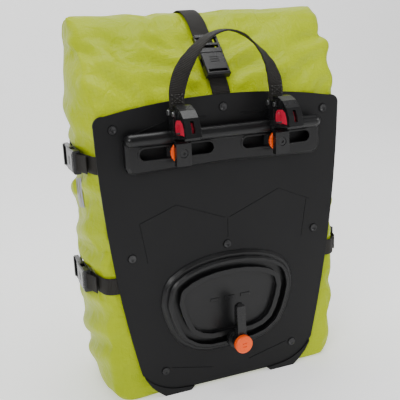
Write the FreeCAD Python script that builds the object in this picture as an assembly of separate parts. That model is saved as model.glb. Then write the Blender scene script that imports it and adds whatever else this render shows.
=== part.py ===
import FreeCAD, Part
import math
import os

V = FreeCAD.Vector

# Pannier bag. Millimetres, +X across the bag, +Z up, the stiff back plate faces -Y.
# z = 0 is the surface the bag stands on; the origin is the middle of the bag's base.
# Every sub-part below is drawn with y = 0 at the plate's outer face and moved by PLATE_Y at export.
PLATE_Y = -48.75

# back plate
PLATE_T = 2.5
PLATE_TOP = 360.0
PLATE_HALF_TOP = 151.0
PLATE_HALF_LOW = 115.0
PLATE_BOTTOM = 4.5
SCREWS = [(130.0, 332.0), (118.0, 183.0), (86.0, 33.0)]
SCREW_MID = [(0.0, 345.5), (0.0, 181.5)]

# hook rail and its round bar
RAIL_HALF = 120.0
RAIL_Z0 = 281.0
RAIL_Z1 = 318.0
RAIL_D = 11.0
BAR_Y = -9.0
BAR_Z = 319.5
BAR_R = 7.5
SLOT_Z = 303.5
SLOT_H = 13.0
SLOT_X0 = 18.0
SLOT_X1 = 105.0

# hooks
HOOK_X = 60.0
HOOK_HALF = 8.6
PIVOT = (-30.0, 347.0)
WEB_PIN = (-13.5, 347.0)
SEAT = (-37.0, 333.0)
SEAT_R = 6.0
WHEEL_R = 12.0

# fin track and anchor
TRACK_CORE = [
    (26, 77.5), (37, 80.5), (45, 86), (50, 95), (54.5, 108.5), (57, 120),
    (55, 129), (46, 134.5), (34, 138.5), (18, 141.5), (0, 142.5),
]
GROOVE_OFF = 14.0
TRACK_H = 9.0
ANCHOR_X = 3.0
ANCHOR_Z = 63.5

# fabric bag
WALL = 2.0
BAG_Y0 = PLATE_T
BAG_BACK_HALF = 150.0
BAG_FRONT = 156.0
FLOOR_T = 7.0
# (z, back y, front y, half width behind the plate, extra half width at the bulge, front corner size)
LEVELS = [
    (0.0, 8.0, 112.0, 132.0, 3.0, 34.0),
    (3.0, 4.0, 124.0, 140.0, 4.0, 36.0),
    (12.0, 2.5, 136.0, 146.0, 5.0, 38.0),
    (34.0, 2.5, 147.0, 149.0, 7.0, 38.0),
    (75.0, 2.5, 156.0, 150.0, 8.0, 34.0),
    (335.0, 2.5, 156.0, 150.0, 8.0, 34.0),
    (357.0, 2.5, 155.0, 151.0, 8.0, 34.0),
    (380.0, 19.0, 152.0, 152.0, 8.0, 32.0),
    (400.0, 38.0, 147.0, 154.0, 6.0, 28.0),
    (412.0, 57.0, 142.0, 155.0, 5.0, 22.0),
]
ROLL = [
    (57, 412), (66, 426), (79, 439), (94, 446.5), (108, 449), (122, 446), (134, 437), (142, 424), (142, 412),
]
STRAP_W = 20.0
STRAP_T = 1.6
TOP_STRAP_W = 22.0


def export(name, shape):
    os.makedirs("parts", exist_ok=True)
    moved = shape.copy()
    moved.translate(V(0, PLATE_Y, 0))
    moved.exportStep("parts/" + name + ".step")


def box(x0, x1, y0, y1, z0, z1):
    return Part.makeBox(x1 - x0, y1 - y0, z1 - z0, V(x0, y0, z0))


def cyl_y(x, z, r, y0, y1):
    return Part.makeCylinder(r, y1 - y0, V(x, y0, z), V(0, 1, 0))


def cyl_x(y, z, r, x0, x1):
    return Part.makeCylinder(r, x1 - x0, V(x0, y, z), V(1, 0, 0))


def poly_yz(points, x0, x1):
    pts = [V(x0, y, z) for y, z in points]
    face = Part.Face(Part.makePolygon(pts + [pts[0]]))
    return face.extrude(V(x1 - x0, 0, 0))


def poly_xz(points, y0, y1):
    pts = [V(x, y0, z) for x, z in points]
    face = Part.Face(Part.makePolygon(pts + [pts[0]]))
    return face.extrude(V(0, y1 - y0, 0))


def mirror_x(shape):
    return shape.mirror(V(0, 0, 0), V(1, 0, 0))


def line(a, b):
    return Part.LineSegment(a, b).toShape()


def arc(a, m, b):
    return Part.Arc(a, m, b).toShape()


# ---- back plate -------------------------------------------------------------------------------

def plate_wire(grow, y):
    """Outline of the plate: arched top, tapering sides, curved lower corners."""
    top = PLATE_TOP + grow
    h = PLATE_HALF_TOP + grow
    low = PLATE_HALF_LOW + grow
    bot = PLATE_BOTTOM - grow

    def p(x, z):
        return V(x, y, z)

    edges = [
        arc(p(-139, 347 + grow), p(0, top), p(139, 347 + grow)),
        arc(p(139, 347 + grow), p(148.6 + grow * 0.7, 344 + grow * 0.5), p(h, 335)),
        arc(p(h, 335), p(139.4 + grow, 175), p(low, 34)),
        arc(p(low, 34), p(99.5 + grow * 0.7, 18 - grow * 0.7), p(71, 6.6 - grow)),
        line(p(71, 6.6 - grow), p(50, bot)),
        line(p(50, bot), p(-50, bot)),
        line(p(-50, bot), p(-71, 6.6 - grow)),
        arc(p(-71, 6.6 - grow), p(-99.5 - grow * 0.7, 18 - grow * 0.7), p(-low, 34)),
        arc(p(-low, 34), p(-139.4 - grow, 175), p(-h, 335)),
        arc(p(-h, 335), p(-148.6 - grow * 0.7, 344 + grow * 0.5), p(-139, 347 + grow)),
    ]
    return Part.Wire(edges)


def groove_bar(x0, z0, x1, z1, width, y0, y1):
    """A straight bar lying on the plate between two points."""
    length = math.hypot(x1 - x0, z1 - z0)
    nx = -(z1 - z0) / length * width / 2
    nz = (x1 - x0) / length * width / 2
    pts = [(x0 + nx, z0 + nz), (x1 + nx, z1 + nz), (x1 - nx, z1 - nz), (x0 - nx, z0 - nz)]
    return poly_xz(pts, y0, y1)


def screw_places():
    places = list(SCREW_MID)
    for x, z in SCREWS:
        places += [(x, z), (-x, z)]
    return places


def back_plate():
    plate = Part.Face(plate_wire(0, 0)).extrude(V(0, PLATE_T, 0))
    hexes = [(-107, 223), (-62, 239), (-2, 215), (4, 215), (69, 241), (111, 222)]
    cuts = []
    for a, b in zip(hexes[:-1], hexes[1:]):
        if abs(a[0] - b[0]) > 10:
            cuts.append(groove_bar(a[0], a[1], b[0], b[1], 1.2, -1, 0.5))
    cuts.append(groove_bar(1, 214, 1, 190, 1.2, -1, 0.5))
    for s in (1, -1):
        cuts.append(groove_bar(s * 107, 222, s * 100, 175, 1.2, -1, 0.5))
        cuts.append(groove_bar(s * 78, 36, s * 25, 24, 1.2, -1, 0.5))
    for x, z in screw_places():
        cuts.append(cyl_y(x, z, 5.2, -1, 0.7))
        cuts.append(cyl_y(x, z, 2.2, -1, PLATE_T + 1))
    for x in (8.0, 113.0):
        for s in (1, -1):
            cuts.append(cyl_y(s * x, 287.0, 2.2, -1, PLATE_T + 1))
    plate = plate.cut(cuts)
    ridges = []
    for s in (1, -1):
        ridges.append(groove_bar(s * 118, 321, s * 70, 335.5, 1.4, -0.9, 0.2))
        ridges.append(groove_bar(s * 50, 335.5, s * 22, 336.5, 1.4, -0.9, 0.2))
    return plate.fuse(ridges).removeSplitter()


def plate_screws():
    """Dished pan heads outside, shanks through plate, fabric and stiffener."""
    solids = []
    for x, z in screw_places():
        head = cyl_y(x, z, 4.6, -1.1, 0.7)
        head = head.cut(Part.makeSphere(6.0, V(x, -6.0, z)))
        shank = cyl_y(x, z, 2.0, 0.5, 9.0)
        solids.append(head.fuse(shank).removeSplitter())
    return Part.makeCompound(solids)


def screw_washers():
    solids = []
    for x, z in screw_places():
        disc = cyl_y(x, z, 7.0, 6.3, 7.8)
        nut = cyl_y(x, z, 3.6, 7.8, 9.6)
        solids.append(disc.fuse(nut).cut(cyl_y(x, z, 2.0, 0, 9.0)).removeSplitter())
    return Part.makeCompound(solids)


def inner_stiffener():
    half = [(126, 346), (136, 336), (124, 175), (104, 40), (84, 14)]
    outline = half + [(-x, z) for x, z in reversed(half)]
    sheet = poly_xz(outline, BAG_Y0 + WALL, BAG_Y0 + WALL + 1.8)
    holes = [cyl_y(x, z, 2.0, 0, 12) for x, z in screw_places()]
    for x in (8.0, 113.0):
        holes += [cyl_y(x, 287.0, 2.0, 0, 12), cyl_y(-x, 287.0, 2.0, 0, 12)]
    return sheet.cut(holes)


# ---- hook rail --------------------------------------------------------------------------------

def rounded_slot(x0, x1, z, h, y0, y1):
    r = h / 2
    body = box(x0 + r, x1 - r, y0, y1, z - r, z + r)
    return body.fuse([cyl_y(x0 + r, z, r, y0, y1), cyl_y(x1 - r, z, r, y0, y1)]).removeSplitter()


def hook_rail():
    r = 9.0
    pts = [
        (-RAIL_HALF, RAIL_Z0 + r), (-RAIL_HALF + r * 0.3, RAIL_Z0 + r * 0.3), (-RAIL_HALF + r, RAIL_Z0),
        (0, RAIL_Z0 + 3.0),
        (RAIL_HALF - r, RAIL_Z0), (RAIL_HALF - r * 0.3, RAIL_Z0 + r * 0.3), (RAIL_HALF, RAIL_Z0 + r),
        (RAIL_HALF, RAIL_Z1), (-RAIL_HALF, RAIL_Z1),
    ]
    rail = poly_xz(pts, -RAIL_D, 0)
    front = [e for e in rail.Edges if max(v.Y for v in e.Vertexes) < -RAIL_D + 0.1]
    front = [e for e in front if e.CenterOfMass.z < RAIL_Z1 - 1]
    rail = rail.makeChamfer(3.6, front)
    bar = cyl_x(BAR_Y, BAR_Z, BAR_R, -RAIL_HALF + 7, RAIL_HALF - 7)
    ends = [Part.makeSphere(BAR_R, V(s * (RAIL_HALF - 7), BAR_Y, BAR_Z)) for s in (1, -1)]
    back = box(-RAIL_HALF + 7, RAIL_HALF - 7, BAR_Y, 0, RAIL_Z1 - 2, BAR_Z + 2)
    rail = rail.fuse([bar, back] + ends)
    for s in (1, -1):
        x0, x1 = sorted((s * SLOT_X0, s * SLOT_X1))
        rim = rounded_slot(x0 - 2, x1 + 2, SLOT_Z, SLOT_H + 4, -RAIL_D - 0.8, -RAIL_D + 1)
        rail = rail.fuse(rim)
        rail = rail.cut(rounded_slot(x0, x1, SLOT_Z, SLOT_H, -RAIL_D - 3, 1))
        rail = rail.cut(box(x0 - 3, x1 + 3, -8.0, 1, SLOT_Z - 11, SLOT_Z + 11))
    for x in (8.0, 113.0):
        rail = rail.cut([cyl_y(x, 287.0, 2.0, -6.0, 1), cyl_y(-x, 287.0, 2.0, -6.0, 1)])
    return rail.removeSplitter()


def rail_screws():
    solids = []
    for x in (8.0, 113.0, -8.0, -113.0):
        shank = cyl_y(x, 287.0, 2.0, -6.0, 8.0)
        head = cyl_y(x, 287.0, 4.0, 6.3, 8.4)
        solids.append(shank.fuse(head).removeSplitter())
    return Part.makeCompound(solids)


# ---- hooks ------------------------------------------------------------------------------------

THROAT = [(-37, 341.6), (-45, 342.6), (-50.5, 340), (-54, 334), (-56.6, 318), (-28.5, 318), (-28.5, 334)]


def hook_body(x):
    """Collar on the bar, solid back, curved outer arm with a window, neck and clamp tab."""
    outer = [
        (-3.2, 322), (-3.2, 333), (-7, 346), (-9.5, 352), (-21, 355.5), (-33, 356), (-45, 352.3),
        (-53.5, 345.5),
        (-59, 336.5), (-61, 325.6), (-56.2, 324.6), (-55.6, 320), (-28.5, 320),
        (-28.5, 326.8), (-22.3, 326.8), (-20, 320),
    ]
    x0 = x - HOOK_HALF
    x1 = x + HOOK_HALF
    body = poly_yz(outer, x0, x1)
    body = body.fuse(cyl_x(BAR_Y, BAR_Z, 10.8, x0, x1))
    throat = poly_yz(THROAT, x0 - 1, x1 + 1).fuse(cyl_x(SEAT[0], SEAT[1], 8.6, x0 - 1, x1 + 1))
    body = body.cut(throat)
    neck = [(-29, 289.5), (-29, 314.5), (-26, 317.2), (-20.6, 318), (-19.9, 325), (-14, 326), (-17.2, 316.3),
            (-21.2, 316.1), (-21.2, 289.5)]
    body = body.fuse(poly_yz(neck, x0, x1))
    body = body.cut(cyl_x(BAR_Y, BAR_Z, BAR_R + 0.3, x0 - 1, x1 + 1))
    body = body.cut(box(x0 - 1, x1 + 1, -17.0, 2, 280, 316.3))
    body = body.cut(box(x0 - 1, x1 + 1, -21.0, -16.0, 280, 316.1))
    body = body.cut(box(x0 - 1, x1 + 1, -2.2, 4, 280, 340))
    # room for the webbing loop and its pin
    body = body.cut(cyl_x(WEB_PIN[0], WEB_PIN[1], 6.2, x0 - 1, x1 + 1))
    loop_room = [(-21.5, 347), (-24, 362), (0, 362), (0, 340), (-8.0, 342)]
    body = body.cut(poly_yz(loop_room, x0 - 1, x1 + 1))
    body = body.cut(cyl_x(PIVOT[0], PIVOT[1], 1.6, x0 - 1, x1 + 1))
    body = body.cut(cyl_x(PIVOT[0], PIVOT[1], 3.8, x - 3.0, x + 3.0))
    window = box(x - 2.0, x + 2.0, -66, -50, 330, 343)
    screw = cyl_y(x, SLOT_Z, 2.6, -35, -15).fuse(cyl_y(x, SLOT_Z, 4.8, -35, -25.5))
    return body.cut([window, screw]).removeSplitter()


def hook_insert(x):
    """Soft liner of the throat that sets the tube size."""
    x0 = x - HOOK_HALF
    x1 = x + HOOK_HALF
    liner = poly_yz(THROAT, x0, x1).fuse(cyl_x(SEAT[0], SEAT[1], 8.6, x0, x1))
    liner = liner.cut(cyl_x(SEAT[0], SEAT[1], SEAT_R, x0 - 1, x1 + 1))
    liner = liner.cut(box(x0 - 1, x1 + 1, SEAT[0] - SEAT_R, SEAT[0] + SEAT_R, 310, SEAT[1]))
    liner = liner.cut(box(x0 - 1, x1 + 1, -70, 0, 310, 327.2))
    return liner.removeSplitter()


def lock_lever(x):
    """Two side plates joined by the bar that closes the throat from below."""
    side = [(-18, 350.8), (-29, 351.2), (-33.5, 347), (-28.2, 341), (-27.8, 334), (-28.5, 329),
            (-31, 326.5), (-44.2, 326.5), (-44.8, 322.8), (-40, 321.9), (-24, 321.4), (-19.5, 325),
            (-16.8, 335), (-15, 343)]
    solids = []
    for s in (1, -1):
        a, b = sorted((x + s * (HOOK_HALF + 0.3), x + s * (HOOK_HALF + 2.2)))
        plate = poly_yz(side, a, b)
        plate = plate.fuse([cyl_x(WEB_PIN[0], WEB_PIN[1], 4.6, a, b), cyl_x(PIVOT[0], PIVOT[1], 4.4, a, b)])
        plate = plate.cut(cyl_x(PIVOT[0], PIVOT[1], 1.68, a - 1, b + 1))
        plate = plate.cut(cyl_x(WEB_PIN[0], WEB_PIN[1], 2.0, a - 1, b + 1))
        solids.append(plate)
    claw = [(-36.2, 326.5), (-44.2, 326.5), (-44.8, 322.8), (-40, 321.9), (-36.2, 321.8)]
    solids.append(poly_yz(claw, x - HOOK_HALF - 0.4, x + HOOK_HALF + 0.4))
    return solids[0].fuse(solids[1:]).removeSplitter()


def lever_pivot_pin(x):
    half = HOOK_HALF + 2.9
    pin = cyl_x(PIVOT[0], PIVOT[1], 1.6, x - half, x + half)
    heads = [cyl_x(PIVOT[0], PIVOT[1], 2.6, x + half - 0.4, x + half + 0.5)]
    heads.append(cyl_x(PIVOT[0], PIVOT[1], 2.6, x - half - 0.5, x - half + 0.4))
    return pin.fuse(heads).removeSplitter()


def lever_spring(x):
    """Return spring coiled round the pivot pin inside the hook body."""
    coil = []
    for i in range(4):
        a = x - 2.5 + i * 1.3
        ring = cyl_x(PIVOT[0], PIVOT[1], 3.5, a, a + 1.1).cut(cyl_x(PIVOT[0], PIVOT[1], 2.3, a - 1, a + 2))
        coil.append(ring)
    leg = box(x - 2.5, x + 2.5, PIVOT[0] + 2.4, PIVOT[0] + 3.3, PIVOT[1] - 0.6, PIVOT[1] + 0.6)
    return coil[0].fuse(coil[1:] + [leg]).removeSplitter()


def webbing_pin(x):
    half = HOOK_HALF + 2.2
    pin = cyl_x(WEB_PIN[0], WEB_PIN[1], 2.0, x - half, x + half)
    heads = [cyl_x(WEB_PIN[0], WEB_PIN[1], 3.2, x + half, x + half + 0.9)]
    heads.append(cyl_x(WEB_PIN[0], WEB_PIN[1], 3.2, x - half - 0.9, x - half))
    return pin.fuse(heads).removeSplitter()


def clamp_screw(x):
    head = cyl_y(x, SLOT_Z, 4.4, -28.4, -25.5)
    shank = cyl_y(x, SLOT_Z, 2.4, -25.5, -3.6)
    hexagon = Part.makeCylinder(1.9, 2.0, V(x, -29, SLOT_Z), V(0, 1, 0))
    return head.fuse(shank).cut(hexagon).removeSplitter()


def clamp_nut(x):
    """Square nut behind the slot with a neck that runs in it."""
    flange = box(x - 12, x + 12, -7.7, -3.4, SLOT_Z - 9.5, SLOT_Z + 9.5)
    neck = box(x - 10, x + 10, -11.4, -7.7, SLOT_Z - 6.2, SLOT_Z + 6.2)
    boss = cyl_y(x, SLOT_Z, 5.0, -16.8, -11.4)
    return flange.fuse([neck, boss]).cut(cyl_y(x, SLOT_Z, 2.4, -20, 0)).removeSplitter()


def thumbwheel(x):
    wheel = cyl_y(x, SLOT_Z, WHEEL_R, -20.8, -17.1)
    rim = [e for e in wheel.Edges if abs(e.Length - 2 * math.pi * WHEEL_R) < 0.1]
    wheel = wheel.makeChamfer(0.7, rim)
    cuts = [cyl_y(x, SLOT_Z, 2.48, -25, -10)]
    for i in range(20):
        a = 2 * math.pi * i / 20
        cuts.append(cyl_y(x + 12.5 * math.cos(a), SLOT_Z + 12.5 * math.sin(a), 1.1, -25, -10))
    return wheel.cut(cuts)


# ---- fin track and anchor ---------------------------------------------------------------------

def track_wire(offset, y):
    right = [(x, z) for x, z in TRACK_CORE]
    left = [(-x, z) for x, z in reversed(TRACK_CORE) if x > 0]
    pts = [V(x, z, 0) for x, z in right + left]
    wire = Part.makePolygon(pts + [pts[0]])
    if offset > 0.01:
        wire = wire.makeOffset2D(offset)
    wire.rotate(V(0, 0, 0), V(1, 0, 0), 90)
    wire.translate(V(0, y, 0))
    return wire


def track_solid(offset, y0, y1):
    face = Part.Face(track_wire(offset, y1))
    return face.extrude(V(0, y0 - y1, 0))


def edges_at(shape, y):
    """Edges that lie wholly in one plane parallel to the plate."""
    return [e for e in shape.Edges if abs(e.BoundBox.YMin - y) < 0.05 and abs(e.BoundBox.YMax - y) < 0.05]


def fin_track():
    """Raised ring with an undercut groove all round and a recessed panel in the middle."""
    low = track_solid(30.0, -4.0, 0)
    rim = edges_at(low, -4.0)
    low = low.makeChamfer(3.2, rim)
    top = track_solid(23.5, -TRACK_H, 0)
    rim = edges_at(top, -TRACK_H)
    top = top.makeChamfer(2.2, rim)
    body = low.fuse(top)
    groove = track_solid(GROOVE_OFF + 4, -TRACK_H - 1, -1.6).cut(track_solid(GROOVE_OFF - 4, -TRACK_H - 2, 0))
    under = track_solid(GROOVE_OFF + 7, -6.2, -1.6).cut(track_solid(GROOVE_OFF - 7, -7.2, 0))
    panel = track_solid(4.0, -TRACK_H - 1, -3.0)
    body = body.cut([groove, under, panel])
    bars = [box(-26 + i * 20, -14 + i * 20, -3.8, -2.9, 112, 116) for i in range(3)]
    return body.fuse(bars).removeSplitter()


def anchor_slider():
    """Foot in the undercut groove, neck and threaded stud."""
    foot = box(ANCHOR_X - 5, ANCHOR_X + 5, -5.9, -1.9, ANCHOR_Z - 6.4, ANCHOR_Z + 6.4)
    neck = box(ANCHOR_X - 5, ANCHOR_X + 5, -9.2, -5.9, ANCHOR_Z - 3.6, ANCHOR_Z + 3.6)
    stud = cyl_y(ANCHOR_X, ANCHOR_Z, 2.9, -34.0, -9.2)
    return foot.fuse([neck, stud]).removeSplitter()


def anchor_fin():
    """Knurled base with the fin that reaches up behind the rack's strut."""
    base = cyl_y(ANCHOR_X, ANCHOR_Z, 12.5, -17.0, -9.5)
    hub = cyl_y(ANCHOR_X, ANCHOR_Z, 9.0, -29.0, -17.0)
    side = [(-29.0, ANCHOR_Z - 7), (-29.6, ANCHOR_Z + 20), (-28.0, ANCHOR_Z + 47), (-25.5, ANCHOR_Z + 51),
            (-22.5, ANCHOR_Z + 50.5), (-20.5, ANCHOR_Z + 45), (-19.4, ANCHOR_Z + 20), (-17, ANCHOR_Z + 11),
            (-17, ANCHOR_Z - 7)]
    arm = poly_yz(side, ANCHOR_X - 5.4, ANCHOR_X + 5.4)
    cap = cyl_y(ANCHOR_X, ANCHOR_Z + 45.2, 5.4, -40, -10)
    blunt = box(ANCHOR_X - 6, ANCHOR_X + 6, -40, -10, ANCHOR_Z - 10, ANCHOR_Z + 45.2)
    arm = arm.common(cap.fuse(blunt))
    body = base.fuse([hub, arm])
    cuts = [cyl_y(ANCHOR_X, ANCHOR_Z, 3.0, -40, 0)]
    for i in range(24):
        a = 2 * math.pi * i / 24
        cuts.append(cyl_y(ANCHOR_X + 13.1 * math.cos(a), ANCHOR_Z + 13.1 * math.sin(a), 1.1, -18, -9))
    return body.cut(cuts).removeSplitter()


def anchor_knob():
    knob = cyl_y(ANCHOR_X, ANCHOR_Z, 11.0, -36.0, -29.9)
    knob = knob.makeChamfer(1.4, edges_at(knob, -36.0))
    cuts = [cyl_y(ANCHOR_X, ANCHOR_Z, 2.96, -34.1, -20)]
    for s in (1, -1):
        z = ANCHOR_Z + s * 2.2
        cuts.append(box(ANCHOR_X - 2.6, ANCHOR_X + 2.6, -37, -35.2, z - 0.7, z + 0.7))
    return knob.cut(cuts)


# ---- fabric bag -------------------------------------------------------------------------------

def plan_wire(level, inset):
    """Plan outline of the bag at one height."""
    z, back, front, half, bulge, corner = level
    back = back + inset
    front = front - inset
    half = half - inset
    wide = half + bulge
    c = max(corner - inset, 4)
    b = 11.0

    def p(x, y):
        return V(x, y, z)

    k = 0.2929
    right = [
        arc(p(half - b, back), p(half - b * k, back + b * k), p(half + 1, back + b)),
        arc(p(half + 1, back + b), p(wide, (back + front) / 2), p(half, front - c)),
        arc(p(half, front - c), p(half - c * k, front - c * k), p(half - c, front - 2)),
    ]
    left = [
        arc(p(-half + c, front - 2), p(-half + c * k, front - c * k), p(-half, front - c)),
        arc(p(-half, front - c), p(-wide, (back + front) / 2), p(-half - 1, back + b)),
        arc(p(-half - 1, back + b), p(-half + b * k, back + b * k), p(-half + b, back)),
    ]
    front_edge = arc(p(half - c, front - 2), p(0, front), p(-half + c, front - 2))
    back_edge = line(p(-half + b, back), p(half - b, back))
    return Part.Wire(right + [front_edge] + left + [back_edge])


def bag_solid(inset, z_low):
    levels = []
    for level in LEVELS:
        if level[0] >= z_low - 0.01:
            levels.append(level)
    if z_low > 0:
        levels.insert(0, (z_low,) + LEVELS[2][1:])
        levels = [levels[0]] + [v for v in levels[1:] if v[0] > z_low + 6]
    wires = [plan_wire(v, inset) for v in levels]
    return Part.makeLoft(wires, True, True)


def bag_shell():
    shell = bag_solid(0, 0).cut(bag_solid(WALL, FLOOR_T))
    for s in (1, -1):
        a, b = sorted((s * 48, s * 122))
        shell = shell.cut(box(a, b, -1, 46.4, -1, 4.8))
    return shell


def bag_panels():
    """The shell parted along its welded seams."""
    shell = bag_shell()
    bottom_box = box(-400, 400, -50, 400, -5, 34)
    bottom = shell.common(bottom_box)
    rest = shell.cut(bottom_box)
    back_box = box(-400, 400, -50, 16, 30, 357)
    back = rest.common(back_box)
    rest = rest.cut(back_box)
    top_box = box(-400, 400, -50, 400, 357, 500)
    collar = rest.common(top_box)
    rest = rest.cut(top_box)
    front_box = box(-400, 400, 119, 400, 30, 360)
    front = rest.common(front_box)
    rest = rest.cut(front_box)
    left = rest.common(box(-400, 0, -50, 400, 0, 500))
    right = rest.common(box(0, 400, -50, 400, 0, 500))
    holes = [cyl_y(x, z, 2.0, -5, 12) for x, z in screw_places()]
    for x in (8.0, 113.0):
        holes += [cyl_y(x, 287.0, 2.0, -5, 12), cyl_y(-x, 287.0, 2.0, -5, 12)]
    back = back.cut(holes)
    return {"bag_bottom": bottom.cut(holes), "bag_back": back, "bag_collar": collar, "bag_front": front,
            "bag_side_left": left, "bag_side_right": right}


def roll_top():
    """The collar rolled up over its stiffening strip."""
    cy = 100.0
    cz = 430.0
    wires = []
    for x, k in ((-162, 0.72), (-154, 0.94), (-140, 1.0), (140, 1.0), (154, 0.94), (162, 0.72)):
        pts = []
        for y, z in ROLL:
            pts.append(V(x, cy + (y - cy) * k, max(412.0, cz + (z - cz) * k)))
        wires.append(Part.makePolygon(pts + [pts[0]]))
    roll = Part.makeLoft(wires, True, True)
    return roll.cut(box(-140.0, 140.0, 88.0, 116.0, 419.0, 423.0))


def roll_strip():
    return box(-140.0, 140.0, 88.0, 116.0, 419.4, 422.6)


def band(z0, z1, lift, thick, cut_box):
    """A flat strip lying on the straight part of the bag between two heights."""
    level = list(LEVELS[4])
    level[0] = z0
    level[1] = 2.5
    level[2] = 156.0
    wire = plan_wire(tuple(level), 0)
    outer = Part.Face(wire.makeOffset2D(lift + thick))
    inner = Part.Face(wire.makeOffset2D(lift))
    ring = outer.cut(inner).extrude(V(0, 0, z1 - z0))
    return ring.common(cut_box)


def side_web(side, z, y0, y1, lift):
    if side > 0:
        room = box(60, 400, y0, y1, z - 50, z + 50)
    else:
        room = box(-400, -60, y0, y1, z - 50, z + 50)
    return band(z - STRAP_W / 2, z + STRAP_W / 2, lift, STRAP_T, room)


def reflector(side):
    a, b = sorted((side * 60, side * 400))
    return band(232, 276, 0.3, 0.5, box(a, b, 46, 78, 200, 300))


# ---- corner guards ----------------------------------------------------------------------------

def corner_guard(side):
    """Moulded foot hooked under the plate's lower corner and the bag."""
    outer = [(50, 4.5), (55, 0), (88, 0), (97, 7.5), (105, 16), (111.5, 27), (114.8, 42), (109, 42), (50, 42)]
    pts = [(side * x, z) for x, z in outer]
    edge = poly_xz(pts, -1.5, BAG_Y0)
    edge = edge.cut(Part.Face(plate_wire(0.05, -2)).extrude(V(0, 50, 0)))
    sole = [(50, 4.7), (55, 0), (88, 0), (92, 4.7)]
    foot = poly_xz([(side * x, z) for x, z in sole], BAG_Y0 - 1, 46.0)
    foot = foot.cut(Part.Face(plate_wire(0.05, -2)).extrude(V(0, 4.5, 0)))
    return edge.fuse(foot).removeSplitter()


# ---- webbing and buckles ----------------------------------------------------------------------

def ribbon(sections):
    """Solid through a list of four-point sections, with flat triangles between them."""
    faces = []

    def tri(a, b, c):
        faces.append(Part.Face(Part.makePolygon([a, b, c, a])))

    for s, t in zip(sections[:-1], sections[1:]):
        for i in range(4):
            j = (i + 1) % 4
            tri(s[i], s[j], t[j])
            tri(s[i], t[j], t[i])
    for s in (sections[0], sections[-1]):
        tri(s[0], s[1], s[2])
        tri(s[0], s[2], s[3])
    shell = Part.Shell(faces)
    solid = Part.Solid(shell)
    if solid.Volume < 0:
        solid.reverse()
    return solid


def carry_handle():
    """One webbing from hook to hook: flat to the plate at the hooks, a quarter turn in each leg."""
    path = [(-60, 353.9, 0), (-60.2, 360, 0), (-58.6, 372, 6), (-54.5, 385, 24), (-48, 397, 46),
            (-39.5, 408, 64), (-30, 417.5, 78), (-19.5, 425, 86), (-9, 429, 89), (0, 430, 90)]
    full = path + [(-x, z, t) for x, z, t in reversed(path[:-1])]
    sections = []
    for i, (x, z, turn) in enumerate(full):
        a = full[max(i - 1, 0)]
        b = full[min(i + 1, len(full) - 1)]
        run = V(b[0] - a[0], 0, b[1] - a[1])
        run.normalize()
        across = run.cross(V(0, 1, 0))
        t = math.radians(turn)
        wide = across * math.cos(t) + V(0, 1, 0) * math.sin(t)
        thin = run.cross(wide)
        half = 8.4 if z < 361 else 9.8
        mid = V(x, -13.5, z)
        w = wide * half
        h = thin * 1.0
        sections.append([mid + w + h, mid - w + h, mid - w - h, mid + w - h])
    return ribbon(sections)


def handle_end_loops():
    """The two sewn ends of the handle, each folded round a webbing pin."""
    loops = []
    for s in (1, -1):
        x0 = s * HOOK_X - 8.3
        x1 = s * HOOK_X + 8.3
        ring = cyl_x(WEB_PIN[0], WEB_PIN[1], 4.6, x0, x1)
        ring = ring.fuse(box(x0, x1, WEB_PIN[0] - 1.6, WEB_PIN[0] + 1.6, WEB_PIN[1], 352.0))
        loops.append(ring.cut(cyl_x(WEB_PIN[0], WEB_PIN[1], 2.3, x0 - 1, x1 + 1)).removeSplitter())
    return Part.makeCompound(loops)


def turned(shape, origin, along, normal):
    """Place a buckle drawn along +X with its face towards +Z."""
    side = normal.cross(along)
    m = FreeCAD.Matrix(along.x, side.x, normal.x, origin.x, along.y, side.y, normal.y, origin.y,
                       along.z, side.z, normal.z, origin.z, 0, 0, 0, 1)
    return shape.transformed(m)


def buckle_female(width):
    """Socket half: open towards +X at x = 0, windows in both sides, webbing eye at the far end."""
    w = width / 2 + 3.4
    shell = box(-31, 0, -w, w, 0, 8.4)
    edges = [e for e in shell.Edges if abs(e.Vertexes[0].Z - e.Vertexes[-1].Z) < 0.1 and e.CenterOfMass.z > 8]
    shell = shell.makeChamfer(1.3, edges)
    cavity = box(-21, 1, -w + 2.2, w - 2.2, 1.9, 6.5)
    windows = [box(-17, -6, w - 3.0, w + 1, 1.4, 7.0), box(-17, -6, -w - 1, -w + 3.0, 1.4, 7.0)]
    eye = box(-28.4, -24.4, -width / 2 - 0.4, width / 2 + 0.4, -1, 9)
    grip = [box(-15 + i * 3.2, -13.6 + i * 3.2, -5, 5, 8.0, 9) for i in range(3)]
    return shell.cut([cavity, eye] + windows + grip)


def buckle_male(width):
    """Prong half with its two-bar adjuster; the strap passes under it."""
    w = width / 2 + 3.4
    base = box(0.4, 6.5, -w, w, 1.2, 7.6)
    prongs = [box(-19.5, 0.6, w - 6.6, w - 2.8, 2.3, 6.1), box(-19.5, 0.6, -w + 2.8, -w + 6.6, 2.3, 6.1)]
    barbs = []
    for s in (1, -1):
        pts = [V(-19.0, s * (w - 3.2), 2.3), V(-8.0, s * (w - 3.2), 2.3), V(-8.0, s * (w - 2.45), 2.3),
               V(-15.0, s * (w - 2.45), 2.3)]
        face = Part.Face(Part.makePolygon(pts + [pts[0]]))
        barbs.append(face.extrude(V(0, 0, 3.8)))
    guide = box(-16, 0.6, -2.2, 2.2, 2.3, 6.1)
    rails = [box(6.3, 26.5, w - 2.6, w, 1.2, 6.6), box(6.3, 26.5, -w, -w + 2.6, 1.2, 6.6)]
    bars = [box(12.2, 15.4, -w + 1, w - 1, 2.6, 6.2), box(22.5, 26.5, -w + 1, w - 1, 3.0, 7.8)]
    return base.fuse(prongs + barbs + rails + bars + [guide]).removeSplitter()


def side_place(side, z):
    """Where a side buckle's joint line lies, and which way it points."""
    x = 160.2
    origin = V(side * x, 64.0, z)
    return origin, V(0, 1, 0), V(side, 0, 0)


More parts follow.
